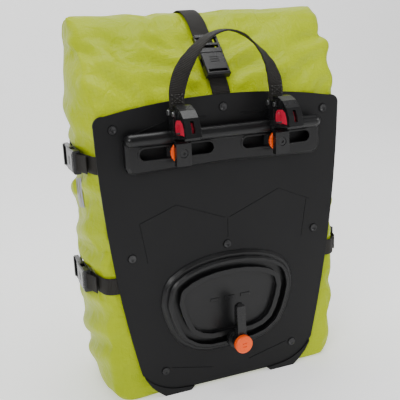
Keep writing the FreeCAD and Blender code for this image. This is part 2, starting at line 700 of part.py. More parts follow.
def top_place():
    """The top buckle lies on the slope behind the plate's top edge."""
    a = (3.5, 357.0)
    b = (57.0, 412.0)
    run = V(0, b[0] - a[0], b[1] - a[1])
    run.normalize()
    normal = V(0, -run.z, run.y)
    origin = V(0, 35.7, 396.9) + normal * 3.0
    return origin, run, normal


def strap_yz(points, width, lift, thick):
    """Flat webbing over the middle of the bag, following a side-view path."""
    sections = []
    for i, (y, z) in enumerate(points):
        a = points[max(i - 1, 0)]
        b = points[min(i + 1, len(points) - 1)]
        run = V(0, b[0] - a[0], b[1] - a[1])
        run.normalize()
        n = V(0, -run.z, run.y)
        low = V(0, y, z) + n * lift
        high = low + n * thick
        w = V(width / 2, 0, 0)
        sections.append([low - w, low + w, high + w, high - w])
    return ribbon(sections)


def main():
    export("back_plate", back_plate())
    export("plate_screws", plate_screws())
    export("screw_washers", screw_washers())
    export("inner_stiffener", inner_stiffener())
    export("hook_rail", hook_rail())
    export("rail_screws", rail_screws())
    export("fin_track", fin_track())
    export("anchor_slider", anchor_slider())
    export("anchor_fin", anchor_fin())
    export("anchor_knob", anchor_knob())
    for side, name in ((-1, "left"), (1, "right")):
        x = side * HOOK_X
        export("hook_body_" + name, hook_body(x))
        export("hook_insert_" + name, hook_insert(x))
        export("lock_lever_" + name, lock_lever(x))
        export("lever_pivot_pin_" + name, lever_pivot_pin(x))
        export("webbing_pin_" + name, webbing_pin(x))
        export("lever_spring_" + name, lever_spring(x))
        export("clamp_screw_" + name, clamp_screw(x))
        export("clamp_nut_" + name, clamp_nut(x))
        export("thumbwheel_" + name, thumbwheel(x))
        export("corner_guard_" + name, corner_guard(side))
        export("reflector_" + name, reflector(side))
        for z, level in ((294.0, "upper"), (153.0, "lower")):
            origin, run, normal = side_place(side, z)
            socket = turned(buckle_female(STRAP_W), origin, run, normal)
            prong = turned(buckle_male(STRAP_W), origin, run, normal)
            export("side_buckle_socket_" + level + "_" + name, socket)
            export("side_buckle_prong_" + level + "_" + name, prong)
            stub = side_web(side, z, 3.4, 37.0, 0.4)
            front = side_web(side, z, 66.0, 400, 0.4)
            export("side_strap_" + level + "_" + name, Part.makeCompound([stub, front]))
    export("carry_handle", carry_handle())
    export("handle_end_loops", handle_end_loops())
    for name, shape in bag_panels().items():
        export(name, shape)
    export("roll_top", roll_top())
    export("roll_strip", roll_strip())
    origin, run, normal = top_place()
    export("top_buckle_socket", turned(buckle_female(TOP_STRAP_W), origin, run, normal))
    export("top_buckle_prong", turned(buckle_male(TOP_STRAP_W), origin, run, normal))
    low = [(4.7, 360.4), (7.4, 365.0), (10.6, 370.0), (13.8, 374.8), (16.0, 378.4)]
    low += [(15.5, 380.6), (12.8, 383.2)]
    export("top_strap_lower", strap_yz(low, TOP_STRAP_W, 0.3, STRAP_T))
    start = [origin + run * 3.0, origin + run * 20.0, origin + run * 38.0]
    high = [(p.y - normal.y * 1.8, p.z - normal.z * 1.8) for p in start]
    high += ROLL[2:-1]
    high += [(143.5, 410), (148.5, 398), (152.5, 380), (155.5, 357), (156.5, 340), (156.5, 300)]
    export("top_strap_upper", strap_yz(high, TOP_STRAP_W, 0.4, STRAP_T))


main()
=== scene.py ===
import math
import bpy
from mathutils import Matrix, Vector, noise
from mathutils.bvhtree import BVHTree


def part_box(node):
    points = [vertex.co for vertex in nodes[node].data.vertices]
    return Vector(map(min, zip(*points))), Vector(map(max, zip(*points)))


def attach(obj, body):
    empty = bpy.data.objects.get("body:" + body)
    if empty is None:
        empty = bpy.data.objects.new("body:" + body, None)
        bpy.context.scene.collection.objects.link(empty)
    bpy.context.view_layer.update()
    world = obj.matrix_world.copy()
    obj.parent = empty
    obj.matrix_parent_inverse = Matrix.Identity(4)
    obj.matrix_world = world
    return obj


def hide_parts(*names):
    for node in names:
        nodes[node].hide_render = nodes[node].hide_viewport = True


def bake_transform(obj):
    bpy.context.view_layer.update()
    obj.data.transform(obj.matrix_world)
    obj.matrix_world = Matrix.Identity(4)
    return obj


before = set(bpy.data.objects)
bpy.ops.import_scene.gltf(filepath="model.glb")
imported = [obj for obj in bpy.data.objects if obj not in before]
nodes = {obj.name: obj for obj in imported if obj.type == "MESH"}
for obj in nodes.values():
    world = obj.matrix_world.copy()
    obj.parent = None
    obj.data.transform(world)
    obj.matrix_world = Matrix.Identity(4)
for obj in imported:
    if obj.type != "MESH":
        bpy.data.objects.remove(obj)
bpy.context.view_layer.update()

# Camera.
# It looks at the stiff back plate from a little left of it and from above, tipped by two degrees.


def add_object(name, data):
    """A new object, linked into the scene."""
    made = bpy.data.objects.new(name, data)
    bpy.context.scene.collection.objects.link(made)
    return made


cam_data = bpy.data.cameras.new("camera")
cam_data.sensor_width = 36.0
cam_data.lens = 63.0
camera = add_object("camera", cam_data)
CAMERA_PLACE = (-0.316735, -0.771366, 0.462097)
# radians: about the upright, down from level, and about the line of sight
turn, drop, roll = -0.37457, 0.278106, -0.041641
forward = Vector((-math.sin(turn) * math.cos(drop), math.cos(turn) * math.cos(drop), -math.sin(drop)))
level = Vector((math.cos(turn), math.sin(turn), 0.0))
upright = level.cross(forward)
right = math.cos(roll) * level + math.sin(roll) * upright
up = -math.sin(roll) * level + math.cos(roll) * upright
basis = Matrix((right, up, -forward)).transposed().to_4x4()
camera.matrix_world = Matrix.Translation(CAMERA_PLACE) @ basis
bpy.context.scene.camera = camera

# Studio.
# A white floor and backdrop in one sweep, a big soft box high on the left, a weaker one on the right and a
# broad overhead one, with an even white surround that fills the dark plate.
BEND_START, BEND_RADIUS, HALF_WIDTH = 1.2, 0.6, 3.5
bend = [i * math.pi / 24 for i in range(13)]
rows = [(-3.0, 0.0)]
rows += [(BEND_START + BEND_RADIUS * math.sin(a), BEND_RADIUS - BEND_RADIUS * math.cos(a)) for a in bend]
rows += [(BEND_START + BEND_RADIUS, 3.0)]
sweep = bpy.data.meshes.new("studio_floor")
sweep.from_pydata([(x, y, z) for y, z in rows for x in (-HALF_WIDTH, HALF_WIDTH)], [],
                  [(2 * i, 2 * i + 1, 2 * i + 3, 2 * i + 2) for i in range(len(rows) - 1)])
sweep.shade_smooth()
studio_floor = add_object("studio_floor", sweep)
paper = bpy.data.materials.new("studio_paper")
paper.use_nodes = True
for socket, value in (("Base Color", (0.86, 0.86, 0.86, 1)), ("Roughness", 0.9),
                      ("Emission Color", (1, 1, 1, 1)), ("Emission Strength", 0.45)):
    paper.node_tree.nodes["Principled BSDF"].inputs[socket].default_value = value
sweep.materials.append(paper)
BAG_MIDDLE = Vector((0, 0, 0.2))
for name, place, size, watts in (("soft_box_left", (-1.5, -1.6, 1.5), 1.0, 34),
                                 ("soft_box_right", (1.7, -1.1, 0.9), 0.9, 18),
                                 ("soft_box_top", (0.0, 0.2, 2.0), 1.4, 34)):
    lamp = bpy.data.lights.new(name, "AREA")
    lamp.size = size
    lamp.energy = watts
    lamp_object = add_object(name, lamp)
    lamp_object.location = place
    lamp_object.rotation_euler = (BAG_MIDDLE - Vector(place)).to_track_quat("-Z", "Y").to_euler()
surround = bpy.data.worlds.new("surround")
surround.use_nodes = True
surround.node_tree.nodes["Background"].inputs["Color"].default_value = (1, 1, 1, 1)
surround.node_tree.nodes["Background"].inputs["Strength"].default_value = 0.3
bpy.context.scene.world = surround

# Fabric bag.
# Coated ripstop polyester, welded into one shell: flat back behind the plate, soft sides and front, and a
# neck that slopes up from the plate and is rolled forwards over itself under the top strap.
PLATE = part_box("back_plate")[0].y + 0.0009
SKIN_LEVELS = [
    # height, back, front, half width at the back, bulge of the sides, front corner
    (0.0005, 0.0080, 0.112, 0.132, 0.003, 0.034),
    (0.003, 0.0045, 0.124, 0.139, 0.004, 0.036),
    (0.012, 0.0030, 0.136, 0.1455, 0.005, 0.038),
    (0.034, 0.0030, 0.147, 0.1485, 0.007, 0.038),
    (0.075, 0.0030, 0.1555, 0.1495, 0.008, 0.034),
    (0.335, 0.0030, 0.1555, 0.1495, 0.008, 0.034),
    (0.357, 0.0030, 0.1545, 0.1510, 0.008, 0.034),
    (0.380, 0.0195, 0.1515, 0.1520, 0.008, 0.032),
    (0.398, 0.0365, 0.1465, 0.1560, 0.005, 0.028),
    (0.408, 0.0500, 0.1400, 0.1580, 0.003, 0.020),
    (0.416, 0.0590, 0.1430, 0.1570, 0.001, 0.012),
    (0.427, 0.0675, 0.1425, 0.1575, 0.001, 0.009),
    (0.438, 0.0800, 0.1350, 0.1575, 0.001, 0.007),
    (0.4445, 0.0920, 0.1250, 0.1570, 0.001, 0.006),
    (0.4475, 0.1020, 0.1150, 0.1560, 0.001, 0.004),
]


def arc_points(a, m, b, count):
    """Points on the arc through three plan points, without the last one."""
    ax, ay, mx, my, bx, by = *a, *m, *b
    d = 2 * (ax * (my - by) + mx * (by - ay) + bx * (ay - my))
    aa, mm, bb = ax * ax + ay * ay, mx * mx + my * my, bx * bx + by * by
    cx = (aa * (my - by) + mm * (by - ay) + bb * (ay - my)) / d
    cy = (aa * (bx - mx) + mm * (ax - bx) + bb * (mx - ax)) / d
    r = math.hypot(ax - cx, ay - cy)
    start = math.atan2(ay - cy, ax - cx)
    sweep_angle = (math.atan2(by - cy, bx - cx) - start + math.pi) % (2 * math.pi) - math.pi
    angles = [start + sweep_angle * i / count for i in range(count)]
    return [(cx + r * math.cos(angle), cy + r * math.sin(angle)) for angle in angles]


BACK_POINTS, BEND_POINTS, SIDE_POINTS, CORNER_POINTS, FRONT_POINTS = 22, 5, 24, 10, 44


def bag_outline(back, front, half, bulge, corner, grow=0.0):
    """Plan outline of the bag, anticlockwise from the middle of the back, y counted from the plate's face."""
    back, front, half = back - grow, front + grow, half + grow
    b, c, wide = min(0.011, (front - back) * 0.3), max(corner, 0.003), half + bulge
    k = 0.2929  # 1 - cos 45 degrees, the middle of a round corner
    right_side = arc_points((half - b, back), (half - b * k, back + b * k), (half + 0.001, back + b), BEND_POINTS)
    right_side += arc_points((half + 0.001, back + b), (wide, (back + front) / 2), (half, front - c), SIDE_POINTS)
    edge = (half - c, front - 0.002)
    right_side += arc_points((half, front - c), (half - c * k, front - c * k), edge, CORNER_POINTS)
    front_run = arc_points(edge, (0, front), (-edge[0], edge[1]), FRONT_POINTS)
    left_side = [(-x, y) for x, y in right_side[1:]][::-1]
    back_run = [((half - b) * i / BACK_POINTS, back) for i in range(BACK_POINTS)]
    whole = back_run + right_side + front_run + [(-edge[0], edge[1])] + left_side + [(-half + b, back)]
    whole += [(-(half - b) * (BACK_POINTS - i) / BACK_POINTS, back) for i in range(1, BACK_POINTS)]
    return whole


def level_at(z):
    """The bag's outline values at a height, eased between the listed levels."""
    for low, high in zip(SKIN_LEVELS[:-1], SKIN_LEVELS[1:]):
        if z <= high[0]:
            t = max(0.0, (z - low[0]) / (high[0] - low[0]))
            return [p + (q - p) * t for p, q in zip(low[1:], high[1:])]
    return list(SKIN_LEVELS[-1][1:])


RING_STEP = 0.0062
heights = [0.0005, 0.003, 0.0075] + [0.012 + i * RING_STEP for i in range(55)]
heights += [0.352, 0.357, 0.3626, 0.368, 0.374, 0.380, 0.386, 0.392, 0.398, 0.4035, 0.408, 0.412, 0.416, 0.4215,
            0.427, 0.4325, 0.438, 0.4415, 0.4445, 0.4465, 0.4475]
bag_rings = []
for z in heights:
    plan = bag_outline(*level_at(z))
    bag_rings.append([Vector((x, y + PLATE, z)) for x, y in plan])
columns = len(bag_rings[0])
waist = bag_rings[30]
girth = [0.0]
for i in range(columns):
    girth.append(girth[-1] + (waist[(i + 1) % columns] - waist[i]).length)


def towards_line(ring, share, half, depth, height):
    """A ring drawn in towards a line across the bag, to close its floor or its crest."""
    return [p.lerp(Vector((max(-half, min(half, p.x)), PLATE + depth, height)), share) for p in ring]


foot_ring, crest_ring = bag_rings[0], bag_rings[-1]
FLOOR_SHARES = (0.08, 0.2, 0.34, 0.5, 0.68, 0.86)
for share in FLOOR_SHARES:
    bag_rings.insert(0, towards_line(foot_ring, share, 0.085, 0.06, 0.0002))
for share in (0.3, 0.7):
    bag_rings.append(towards_line(crest_ring, share, 0.156, 0.108, 0.4485))
foot = len(FLOOR_SHARES)
skin_mesh = bpy.data.meshes.new("bag_skin")
quads = []
for r in range(len(bag_rings) - 1):
    for i in range(columns):
        j = (i + 1) % columns
        quads.append((r * columns + i, r * columns + j, (r + 1) * columns + j, (r + 1) * columns + i))
last = (len(bag_rings) - 1) * columns
front_middle = columns // 2
for i in range(front_middle // 2):
    j, k, m = i + 1, front_middle - 1 - i, front_middle - i
    mirrored = [(columns - n) % columns for n in (i, m, k, j)]
    for a, b, c, d in ((i, j, k, m), tuple(mirrored)):
        quads.append((last + a, last + b, last + c, last + d))
        quads.append((d, c, b, a))
skin_mesh.from_pydata([p for ring in bag_rings for p in ring], [], quads)
uv = skin_mesh.uv_layers.new(name="cloth")
rise = [[0.0] * columns for ring in bag_rings]
for r in range(foot + 1, len(bag_rings)):
    rise[r] = [rise[r - 1][i] + (bag_rings[r][i] - bag_rings[r - 1][i]).length for i in range(columns)]
for r in range(foot - 1, -1, -1):
    rise[r] = [rise[r + 1][i] - (bag_rings[r][i] - bag_rings[r + 1][i]).length for i in range(columns)]
for face in skin_mesh.polygons:
    seam = max(skin_mesh.loops[n].vertex_index % columns for n in face.loop_indices) > columns - 2
    for n in face.loop_indices:
        v = skin_mesh.loops[n].vertex_index
        r, i = divmod(v, columns)
        u = girth[columns] if seam and i == 0 else girth[i]
        uv.data[n].uv = (u, rise[r][i])
skin_mesh.shade_smooth()
bag_skin = add_object("bag_skin", skin_mesh)


def plate_half(z):
    """Half width of the back plate at a height."""
    table = ((0.004, 0.058), (0.018, 0.099), (0.034, 0.115), (0.09, 0.127), (0.14, 0.134), (0.182, 0.140),
             (0.265, 0.147), (0.335, 0.151), (0.348, 0.139), (0.356, 0.07), (0.36, 0.0))
    for (z0, h0), (z1, h1) in zip(table[:-1], table[1:]):
        if z <= z1:
            return h0 + (h1 - h0) * max(0.0, z - z0) / (z1 - z0)
    return 0.0


SIDE_STRAP_Z = (0.294, 0.153)
FOLDS = [(Vector(a), Vector(b), wide, high) for a, b, wide, high in (
    # start and end (y counted from the plate's face), half width, height
    # neck, either side of the strap
    ((-0.016, 0.028, 0.391), (-0.075, 0.050, 0.412), 0.0070, 0.0055),
    ((-0.016, 0.016, 0.378), (-0.105, 0.028, 0.390), 0.0080, 0.0060),
    ((-0.020, 0.040, 0.402), (-0.060, 0.066, 0.428), 0.0070, 0.0035),
    ((0.016, 0.028, 0.391), (0.070, 0.050, 0.408), 0.0070, 0.0055),
    ((0.016, 0.012, 0.372), (0.100, 0.022, 0.380), 0.0080, 0.0045),
    # shoulders
    ((-0.090, 0.020, 0.372), (-0.152, 0.040, 0.415), 0.0100, 0.0060),
    ((-0.110, 0.004, 0.352), (-0.155, 0.030, 0.385), 0.0090, 0.0050),
    ((-0.120, 0.040, 0.402), (-0.158, 0.090, 0.420), 0.0090, 0.0050),
    ((0.090, 0.030, 0.385), (0.155, 0.050, 0.400), 0.0090, 0.0050),
    ((0.110, 0.010, 0.362), (0.157, 0.030, 0.360), 0.0090, 0.0045),
    # left side
    ((-0.156, 0.020, 0.330), (-0.158, 0.110, 0.350), 0.0100, 0.0045),
    ((-0.157, 0.030, 0.310), (-0.158, 0.120, 0.318), 0.0080, 0.0040),
    ((-0.157, 0.020, 0.270), (-0.158, 0.100, 0.252), 0.0090, 0.0045),
    ((-0.157, 0.060, 0.262), (-0.158, 0.140, 0.230), 0.0090, 0.0040),
    ((-0.157, 0.010, 0.215), (-0.158, 0.120, 0.190), 0.0110, 0.0045),
    ((-0.157, 0.030, 0.172), (-0.158, 0.130, 0.178), 0.0080, 0.0045),
    ((-0.157, 0.020, 0.132), (-0.158, 0.110, 0.118), 0.0090, 0.0050),
    ((-0.156, 0.010, 0.095), (-0.158, 0.120, 0.070), 0.0110, 0.0050),
    ((-0.150, 0.020, 0.060), (-0.156, 0.110, 0.036), 0.0090, 0.0045),
    # right side
    ((0.157, 0.020, 0.330), (0.158, 0.110, 0.345), 0.0100, 0.0045),
    ((0.157, 0.020, 0.268), (0.158, 0.120, 0.250), 0.0090, 0.0045),
    ((0.157, 0.020, 0.210), (0.158, 0.120, 0.195), 0.0110, 0.0045),
    ((0.157, 0.030, 0.130), (0.158, 0.110, 0.120), 0.0090, 0.0045),
    ((0.157, 0.010, 0.080), (0.158, 0.120, 0.060), 0.0110, 0.0045),
    # front
    ((-0.100, 0.156, 0.320), (-0.020, 0.157, 0.270), 0.0110, 0.0050),
    ((0.110, 0.156, 0.325), (0.025, 0.157, 0.275), 0.0110, 0.0050),
    ((-0.130, 0.156, 0.120), (-0.040, 0.157, 0.085), 0.0120, 0.0050),
    ((0.120, 0.156, 0.210), (0.020, 0.157, 0.180), 0.0120, 0.0050),
    ((-0.060, 0.150, 0.390), (-0.020, 0.146, 0.405), 0.0080, 0.0040),
    ((0.070, 0.150, 0.388), (0.020, 0.146, 0.404), 0.0080, 0.0040),
    # roll
    ((-0.150, 0.075, 0.436), (-0.060, 0.078, 0.440), 0.0070, 0.0025),
    ((0.150, 0.080, 0.440), (0.050, 0.082, 0.443), 0.0070, 0.0025),
)]
held = bag_skin.vertex_groups.new(name="held")
start = [v.co.copy() for v in skin_mesh.vertices]
RIPPLE = 0.0011  # height of the small ripples that every free stretch of cloth has
SIDE_HOLD, TOP_HOLD = 0.0135, 0.0145  # half the width of cloth that a side strap and the top strap keep still
for v in skin_mesh.vertices:
    # The plate, the straps, the film and the floor keep the cloth under them still; the rest takes the folds.
    x, y, z = v.co.x, v.co.y - PLATE, v.co.z
    behind_plate = y < 0.0062 and abs(x) < plate_half(z) - 0.004
    under_side_strap = y > 0.004 and abs(x) > 0.052 and any(abs(z - s) < SIDE_HOLD for s in SIDE_STRAP_Z)
    under_top_strap = abs(x) < TOP_HOLD and z > 0.300 and (z > 0.352 or y > 0.1)
    under_film = abs(x) > 0.12 and 0.045 < y < 0.079 and 0.226 < z < 0.278
    if behind_plate or z < 0.002 or under_side_strap or under_top_strap or under_film:
        held.add([v.index], 1.0, "REPLACE")
    else:
        ripple = noise.noise(v.co * 24.0) + 0.6 * noise.noise(v.co * 55.0 + Vector((3, 1, 7)))
        lift = ripple * RIPPLE
        here = Vector((x, y, z))
        # each fold is a ridge that fades at both ends, with a shallow hollow along each side
        for a, b, wide, high in FOLDS:
            run = b - a
            t = (here - a).dot(run) / run.length_squared
            if -0.15 < t < 1.15:
                away = (here - a - run * t).length / wide
                ends = math.sin(math.pi * min(1.0, max(0.0, (t + 0.15) / 1.3))) ** 0.7
                lift += 1.25 * high * ends * (math.exp(-away * away) - 0.45 * math.exp(-((away - 1.9) ** 2)))
        v.co += v.normal * lift
CLOTH_STEPS, LARGEST_MOVE, REACH = 24, 0.007, 5
cloth = bag_skin.modifiers.new("cloth", "CLOTH")
cloth.settings.quality = 6
cloth.settings.mass = 0.05
cloth.settings.tension_stiffness = 40
cloth.settings.compression_stiffness = 40
cloth.settings.shear_stiffness = 20
cloth.settings.bending_stiffness = 0.4
cloth.settings.shrink_min = -0.04
cloth.settings.use_pressure = True
cloth.settings.uniform_pressure_force = 4.0
cloth.settings.effector_weights.gravity = 0.0
cloth.settings.vertex_group_mass = "held"
cloth.collision_settings.use_collision = False
cloth.point_cache.frame_start = 1
cloth.point_cache.frame_end = CLOTH_STEPS
for step in range(1, CLOTH_STEPS + 1):
    bpy.context.scene.frame_set(step)
settled = bag_skin.evaluated_get(bpy.context.evaluated_depsgraph_get()).data
places = [v.co.copy() for v in settled.vertices]
bag_skin.modifiers.remove(cloth)
bpy.context.scene.frame_set(1)
# The slow, wide part of the move is weakened, and the short creases are kept.
moves = [place - first for place, first in zip(places, start)]
broad = [m.copy() for m in moves]
for direction in (1, columns):
    summed = []
    for n in range(len(broad)):
        total, count = Vector(), 0
        for k in range(-REACH, REACH + 1):
            m = (n // columns) * columns + (n + k) % columns if direction == 1 else n + k * columns
            if 0 <= m < len(broad):
                total += broad[m]
                count += 1
        summed.append(total / count)
    broad = summed
for v, move, wide_move, first in zip(skin_mesh.vertices, moves, broad, start):
    crisp = wide_move * 0.3 + (move - wide_move) * 1.05
    v.co = first + crisp * min(1.0, LARGEST_MOVE / max(crisp.length, 1e-6))
# The roll leans a little to the right, and the cloth stays off the plate and off the floor.
LEAN = 0.011
for v in skin_mesh.vertices:
    x, z = abs(v.co.x), v.co.z
    pulled = min(1.0, max(0.0, (z - 0.352) / 0.088)) * min(1.0, max(0.0, (x - 0.03) / 0.07))
    v.co.x += LEAN * pulled * pulled * (3 - 2 * pulled) + (0.003 * pulled if v.co.x > 0 else 0.0)
    v.co.y = max(v.co.y, PLATE + (0.0027 if z < 0.352 else -0.004))
    v.co.z = max(z, 0.0003)
smoother = bag_skin.modifiers.new("smooth", "SUBSURF")
smoother.levels = smoother.render_levels = 1


def math_node(tree, operation, *values):
    """The result of a Math node on sockets and numbers."""
    node = tree.nodes.new("ShaderNodeMath")
    node.operation = operation
    for socket, value in zip(node.inputs, values):
        if isinstance(value, float):
            socket.default_value = value
        else:
            tree.links.new(value, socket)
    return node.outputs[0]


def noise_node(tree, place, scale, detail, distortion=0.0):
    """Noise in the object's own coordinates."""
    node = tree.nodes.new("ShaderNodeTexNoise")
    node.inputs["Scale"].default_value = scale
    node.inputs["Detail"].default_value = detail
    node.inputs["Distortion"].default_value = distortion
    tree.links.new(place.outputs["Object"], node.inputs["Vector"])
    return node.outputs["Fac"]


def bump_node(tree, height, strength, distance, under=None):
    """The normal after a bump, on top of another normal where one is given."""
    node = tree.nodes.new("ShaderNodeBump")
    node.inputs["Strength"].default_value = strength
    node.inputs["Distance"].default_value = distance
    tree.links.new(height, node.inputs["Height"])
    if under is not None:
        tree.links.new(under, node.inputs["Normal"])
    return node.outputs["Normal"]


def two_tones(tree, factor, low, high, first=0.0, second=1.0):
    """A colour between two, by a factor."""
    node = tree.nodes.new("ShaderNodeValToRGB")
    for element, position, colour in zip(node.color_ramp.elements, (first, second), (low, high)):
        element.position = position
        element.color = (*colour, 1)
    tree.links.new(factor, node.inputs["Fac"])
    return node.outputs["Color"]


def spread(tree, factor, low, high):
    """A factor mapped between two numbers."""
    node = tree.nodes.new("ShaderNodeMapRange")
    node.inputs["To Min"].default_value = low
    node.inputs["To Max"].default_value = high
    tree.links.new(factor, node.inputs["Value"])
    return node.outputs["Result"]


def coated_ripstop(name, colour, shade):
    """Bright coated polyester: a fine square weave with a thicker thread every few millimetres, soft sheen."""
    mat = bpy.data.materials.new(name)
    mat.use_nodes = True
    tree = mat.node_tree
    cloth_uv = tree.nodes.new("ShaderNodeUVMap")
    cloth_uv.uv_map = "cloth"
    split = tree.nodes.new("ShaderNodeSeparateXYZ")
    tree.links.new(cloth_uv.outputs["UV"], split.inputs[0])

    def square_grid(pitch, sharp):
        lines = []
        for direction in ("X", "Y"):
            turns = math_node(tree, "MULTIPLY", split.outputs[direction], 2 * math.pi / pitch)
            sine = math_node(tree, "COSINE", turns)
            lines.append(math_node(tree, "POWER", math_node(tree, "MULTIPLY_ADD", sine, 0.5, 0.5), sharp))
        return math_node(tree, "MAXIMUM", *lines)

    grid = square_grid(0.0045, 16.0)
    weave = square_grid(0.0009, 1.0)
    place = tree.nodes.new("ShaderNodeTexCoord")
    cloud = noise_node(tree, place, 9.0, 3.0)
    crease = noise_node(tree, place, 55.0, 4.0, 1.2)
    thread = tree.nodes.new("ShaderNodeMix")
    thread.data_type = "RGBA"
    thread.inputs["B"].default_value = (colour[0] * 0.82, colour[1] * 0.86, colour[2], 1)
    tree.links.new(two_tones(tree, cloud, shade, colour, 0.35, 0.65), thread.inputs["A"])
    tree.links.new(math_node(tree, "MULTIPLY", grid, 0.35), thread.inputs["Factor"])
    shader = tree.nodes["Principled BSDF"]
    tree.links.new(thread.outputs["Result"], shader.inputs["Base Color"])
    tree.links.new(spread(tree, crease, 0.28, 0.46), shader.inputs["Roughness"])
    shader.inputs["Specular IOR Level"].default_value = 0.1
    creased = bump_node(tree, crease, 1.0, 0.0022)
    gridded = bump_node(tree, grid, 0.45, 0.0002, creased)
    tree.links.new(bump_node(tree, weave, 0.25, 0.0001, gridded), shader.inputs["Normal"])
    return mat


lime_cloth = coated_ripstop("lime_ripstop", (0.38, 0.46, 0.0), (0.32, 0.40, 0.0))
skin_mesh.materials.append(lime_cloth)
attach(bag_skin, "bag")
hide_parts("bag_back", "bag_front", "bag_side_left", "bag_side_right", "bag_bottom", "bag_collar",
            "roll_top")

# Moulded parts of the back.
# Plate, rail, track and guards are injection-moulded black plastic with a fine spark-eroded grain; their edges
# are broken by a small radius that catches the light.


def moulded_plastic(name, colour, worn, rough, edge, grain, shine=0.3, metal=0.0):
    """Grained moulding: grain bump, cloudy wear and a small edge radius."""
    mat = bpy.data.materials.new(name)
    mat.use_nodes = True
    tree = mat.node_tree
    shader = tree.nodes["Principled BSDF"]
    place = tree.nodes.new("ShaderNodeTexCoord")
    sand = noise_node(tree, place, grain, 2.0)
    stain = noise_node(tree, place, 14.0, 5.0)
    shader.inputs["Specular IOR Level"].default_value = shine
    shader.inputs["Metallic"].default_value = metal
    rounded = tree.nodes.new("ShaderNodeBevel")
    rounded.samples = 4
    rounded.inputs["Radius"].default_value = edge
    tree.links.new(bump_node(tree, sand, 0.35, 0.0001, rounded.outputs["Normal"]), shader.inputs["Normal"])
    tree.links.new(two_tones(tree, stain, colour, worn, 0.3, 0.75), shader.inputs["Base Color"])
    tree.links.new(spread(tree, stain, rough - 0.06, rough + 0.08), shader.inputs["Roughness"])
    return mat


def finish_node(node, mat):
    """Gives a carried-over CAD node its material."""
    nodes[node].data.materials.clear()
    nodes[node].data.materials.append(mat)


plate_black = moulded_plastic("plate_black", (0.0045, 0.0045, 0.005), (0.007, 0.007, 0.0075),
                              0.5, 0.0007, 2600.0, 0.2)
rail_black = moulded_plastic("rail_black", (0.0045, 0.0045, 0.005), (0.007, 0.007, 0.0075),
                             0.33, 0.0009, 2200.0)
for node in ("back_plate", "corner_guard_left", "corner_guard_right"):
    finish_node(node, plate_black)
for node in ("hook_rail", "fin_track"):
    finish_node(node, rail_black)

# Screws of the plate.
# Eight dished pan heads of black zinc-plated steel, pulled up on washers inside the bag.
dark_steel = moulded_plastic("dark_steel", (0.025, 0.025, 0.026), (0.045, 0.045, 0.046),
                             0.36, 0.0003, 900.0, metal=0.7)
for node in ("plate_screws", "rail_screws", "screw_washers"):
    finish_node(node, dark_steel)

# Hidden stiffeners.
# A sheet of black polyethylene stands inside the back, and a flat strip of it is rolled up in the collar.
board_black = moulded_plastic("board_black", (0.020, 0.020, 0.020), (0.035, 0.035, 0.035),
                              0.55, 0.0005, 1800.0)
for node in ("inner_stiffener", "roll_strip"):
    finish_node(node, board_black)

# Hooks.
# Two glass-filled nylon hooks slide on the rail's bar. A red liner sets the tube size, a lever closes the throat
# from below, and an orange wheel and a tab clamp the hook to the rail.
hook_black = moulded_plastic("hook_black", (0.004, 0.004, 0.0045), (0.008, 0.008, 0.0085),
                             0.26, 0.0007, 1500.0, 0.35)
insert_red = moulded_plastic("insert_red", (0.42, 0.008, 0.030), (0.52, 0.015, 0.045), 0.38, 0.0004, 1500.0)
signal_orange = moulded_plastic("signal_orange", (0.80, 0.075, 0.002), (0.90, 0.10, 0.004),
                                0.4, 0.0005, 1500.0)
bright_steel = moulded_plastic("bright_steel", (0.32, 0.32, 0.33), (0.5, 0.5, 0.5),
                               0.3, 0.0003, 900.0, metal=1.0)
for side in ("left", "right"):
    for part, mat in (("hook_body_", hook_black), ("hook_insert_", insert_red), ("lock_lever_", hook_black),
                      ("lever_pivot_pin_", bright_steel), ("webbing_pin_", bright_steel),
                      ("lever_spring_", bright_steel), ("clamp_screw_", dark_steel), ("clamp_nut_", dark_steel),
                      ("thumbwheel_", signal_orange)):
        finish_node(part + side, mat)

# Lower anchor.
# A black nylon slider runs in the track's groove; the fin turns on it and the orange knob locks both.
finish_node("anchor_slider", hook_black)
finish_node("anchor_fin", hook_black)
finish_node("anchor_knob", signal_orange)

# Webbing.
# Black 20 mm polyester webbing with a fine cross rib and a tighter edge, cut, folded and sewn on.


def ribbed_webbing(name, colour, rib):
    """Woven strap: cross ribs and lengthwise cords read from the strap's own length and width, with painted shade
    darkening the hollows between them.
    """
    mat = bpy.data.materials.new(name)
    mat.use_nodes = True
    tree = mat.node_tree
    shader = tree.nodes["Principled BSDF"]
    strap_uv = tree.nodes.new("ShaderNodeUVMap")
    strap_uv.uv_map = "strap"
    waves = []
    for direction, pitch in (("X", rib), ("Y", 0.0011)):
        band = tree.nodes.new("ShaderNodeTexWave")
        band.wave_type = "BANDS"
        band.bands_direction = direction
        band.wave_profile = "SIN"
        band.inputs["Scale"].default_value = 0.31416 / pitch
        band.inputs["Distortion"].default_value = 0.15
        tree.links.new(strap_uv.outputs["UV"], band.inputs["Vector"])
        waves.append(band)
    both = math_node(tree, "MULTIPLY_ADD", waves[1].outputs["Fac"], 0.35, waves[0].outputs["Fac"])
    # painted shade: the hollows between the ribs are coloured darker, on top of the bump
    rib_hollow_painted_shade = [channel * 0.45 for channel in colour]
    tree.links.new(two_tones(tree, both, rib_hollow_painted_shade, colour), shader.inputs["Base Color"])
    tree.links.new(bump_node(tree, both, 0.8, 0.0005), shader.inputs["Normal"])
    shader.inputs["Roughness"].default_value = 0.62
    shader.inputs["Specular IOR Level"].default_value = 0.25
    return mat


black_webbing = ribbed_webbing("black_webbing", (0.014, 0.012, 0.010), 0.0017)
SIDE_WIDTH, TOP_WIDTH, LEG_WIDTH = 0.020, 0.022, 0.0166


